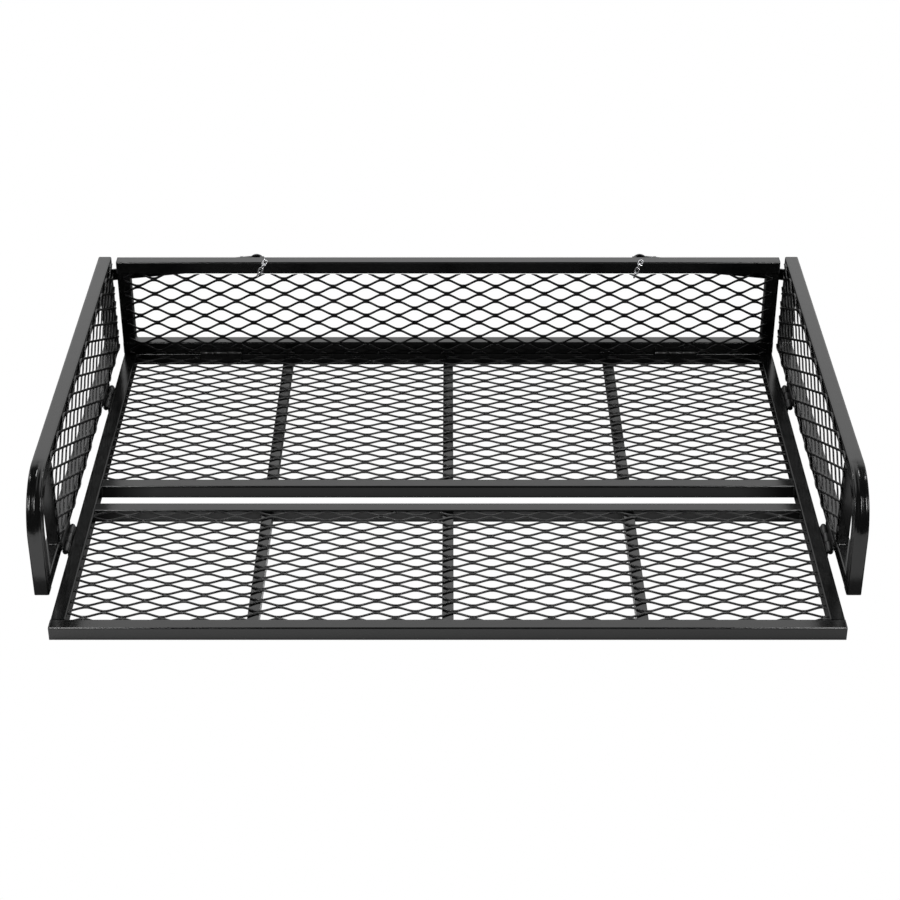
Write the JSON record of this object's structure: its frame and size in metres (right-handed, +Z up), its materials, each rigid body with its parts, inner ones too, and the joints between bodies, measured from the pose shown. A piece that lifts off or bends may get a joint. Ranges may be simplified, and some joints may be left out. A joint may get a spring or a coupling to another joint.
{
  "type": "hitch cargo carrier",
  "caption": "Low welded tube-and-mesh cargo deck, open at the front, with hinged drop-down side walls, a fold-forward back wall and lift-up lock bars.",
  "frame": {"origin": "centre of the four-hole bolt pattern, on the flat underside of the two middle tubes", "axes": "+X across the deck to the right seen from the open front, +Y from the open front towards the back wall, +Z up out of the deck"},
  "size_m": [1.289, 0.9095, 0.2195],
  "materials": {
    "black_coat": "gloss black powder coat",
    "mesh_coat": "gloss black powder coat on expanded steel",
    "cap_plastic": "moulded black plastic",
    "zinc_hardware": "bright zinc plate",
    "chain_zinc": "bright zinc plated chain"
  },
  "bodies": {
    "floor": {"floor_front_tube": "black_coat", "floor_rear_tube": "black_coat", "floor_left_rail": "black_coat", "floor_right_rail": "black_coat", "floor_mid_tube_front": "black_coat", "floor_mid_tube_rear": "black_coat", "front_rib_left": "black_coat", "front_rib_centre": "black_coat", "front_rib_right": "black_coat", "rear_rib_left": "black_coat", "rear_rib_centre": "black_coat", "rear_rib_right": "black_coat", "floor_mesh_front": "mesh_coat", "floor_mesh_rear": "mesh_coat", "floor_end_caps": "cap_plastic", "mount_inserts": "zinc_hardware", "left_hinge_floor_leaves": "black_coat", "left_hinge_pins": "black_coat", "right_hinge_floor_leaves": "black_coat", "right_hinge_pins": "black_coat", "back_hinge_floor_leaves": "black_coat", "back_hinge_pins": "black_coat"},
    "left_wall": {"left_wall_bent_rail": "black_coat", "left_wall_bottom_rail": "black_coat", "left_wall_upright": "black_coat", "left_wall_front_post": "black_coat", "left_wall_mesh": "mesh_coat", "left_wall_end_caps": "cap_plastic", "left_hinge_wall_leaves": "black_coat", "left_pivot_bolt": "zinc_hardware", "left_pivot_nut": "zinc_hardware", "left_pivot_spacer": "zinc_hardware"},
    "right_wall": {"right_wall_bent_rail": "black_coat", "right_wall_bottom_rail": "black_coat", "right_wall_upright": "black_coat", "right_wall_front_post": "black_coat", "right_wall_mesh": "mesh_coat", "right_wall_end_caps": "cap_plastic", "right_hinge_wall_leaves": "black_coat", "right_pivot_bolt": "zinc_hardware", "right_pivot_nut": "zinc_hardware", "right_pivot_spacer": "zinc_hardware"},
    "back_wall": {"back_wall_top_tube": "black_coat", "back_wall_bottom_tube": "black_coat", "back_wall_left_upright": "black_coat", "back_wall_right_upright": "black_coat", "back_wall_mesh": "mesh_coat", "back_wall_end_caps": "cap_plastic", "back_wall_catches": "black_coat", "back_hinge_wall_leaves": "black_coat", "left_chain": "chain_zinc", "left_chain_ring": "chain_zinc", "right_chain": "chain_zinc", "right_chain_ring": "chain_zinc"},
    "left_bar": {"left_lock_bar": "black_coat", "left_lock_stud": "zinc_hardware"},
    "right_bar": {"right_lock_bar": "black_coat", "right_lock_stud": "zinc_hardware"}
  },
  "joints": [
    {"name": "left_wall_drop", "type": "hinge", "parent": "floor", "child": "left_wall", "pos_m": [-0.61525, 0, 0.0235], "axis": [0, -1, 0], "range_deg": [0, 90]},
    {"name": "right_wall_drop", "type": "hinge", "parent": "floor", "child": "right_wall", "pos_m": [0.61525, 0, 0.0235], "axis": [0, 1, 0], "range_deg": [0, 90]},
    {"name": "back_wall_fold", "type": "hinge", "parent": "floor", "child": "back_wall", "pos_m": [0, 0.48525, 0.0285], "axis": [1, 0, 0], "range_deg": [0, 90]},
    {"name": "left_bar_lift", "type": "hinge", "parent": "left_wall", "child": "left_bar", "pos_m": [-0.63275, 0.5215, 0.1735], "axis": [0, -1, 0], "range_deg": [0, 100]},
    {"name": "right_bar_lift", "type": "hinge", "parent": "right_wall", "child": "right_bar", "pos_m": [0.63275, 0.5215, 0.1735], "axis": [0, 1, 0], "range_deg": [0, 100]}
  ]
}
